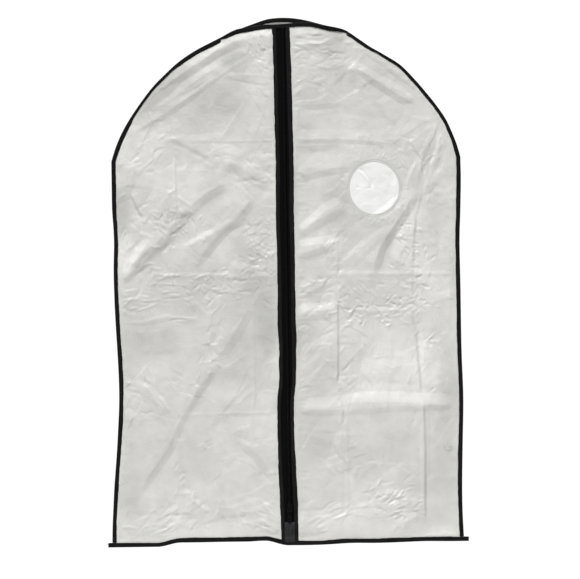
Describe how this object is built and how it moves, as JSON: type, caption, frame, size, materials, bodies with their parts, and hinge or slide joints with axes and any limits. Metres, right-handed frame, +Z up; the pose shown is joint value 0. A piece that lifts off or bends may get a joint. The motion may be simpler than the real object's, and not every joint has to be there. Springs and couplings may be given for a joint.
{
  "type": "garment bag",
  "caption": "Hanging garment bag of translucent film with a full-length centre zip, bound edges, a neck slot for a hanger hook and a round clear window.",
  "frame": {"origin": "middle of the hanger opening at the neck, level with the top of the back neck edge, in the plane of the hanger's hook", "axes": "+X to the right of someone facing the bag, +Y from the front to the back, +Z up along the bag's length"},
  "size_m": [0.617, 0.0279, 0.908],
  "materials": {
    "film": "translucent frosted film",
    "window": "clear film",
    "binding": "non-woven tape, black",
    "zip_binding": "non-woven tape, worn black",
    "zip_tape": "woven polyester tape",
    "zip_coil": "nylon coil",
    "thread": "polyester thread",
    "slider": "black lacquer"
  },
  "bodies": {
    "root": {"back_panel": "film", "front_panel_left_border": "film", "front_panel_right_border": "film", "edge_binding": "binding", "neck_binding": "binding", "bottom_binding": "binding", "zip_binding_left_ends": "zip_binding", "zip_tape_left_ends": "zip_tape", "zip_coil_left_ends": "zip_coil", "zip_thread_left_ends": "thread", "zip_binding_right_ends": "zip_binding", "zip_tape_right_ends": "zip_tape", "zip_coil_right_ends": "zip_coil", "zip_thread_right_ends": "thread", "zip_end_tab": "zip_binding", "tab_thread": "thread", "edge_thread": "thread", "neck_thread": "thread", "bottom_thread": "thread"},
    "left_flap": {"front_panel_left_flap": "film", "zip_binding_left_middle": "zip_binding", "zip_tape_left_middle": "zip_tape", "zip_coil_left_middle": "zip_coil", "zip_thread_left_middle": "thread"},
    "right_flap": {"front_panel_right_flap": "film", "zip_binding_right_middle": "zip_binding", "zip_tape_right_middle": "zip_tape", "zip_coil_right_middle": "zip_coil", "zip_thread_right_middle": "thread", "window_disc": "window"},
    "slider": {"slider_body": "slider"},
    "puller": {"pull_tab": "slider"}
  },
  "joints": [
    {"name": "zip_slide", "type": "slide", "parent": "root", "child": "slider", "axis": [0, 0, 1], "range_m": [0, 0.812]},
    {"name": "pull_tab_swing", "type": "hinge", "parent": "slider", "child": "puller", "pos_m": [0, -0.0108, -0.8475], "axis": [-1, 0, 0], "range_deg": [0, 170]},
    {"name": "left_front_open", "type": "hinge", "parent": "root", "child": "left_flap", "pos_m": [-0.2846, -0.00715, -0.4365], "axis": [0, 0, -1], "range_deg": [0, 30]},
    {"name": "right_front_open", "type": "hinge", "parent": "root", "child": "right_flap", "pos_m": [0.2846, -0.00715, -0.4365], "axis": [0, 0, 1], "range_deg": [0, 30]}
  ],
  "couplings": [
    {"joint": "left_front_open", "follows": "zip_slide", "rad_per_m": 0.64483},
    {"joint": "right_front_open", "follows": "zip_slide", "rad_per_m": 0.64483}
  ]
}
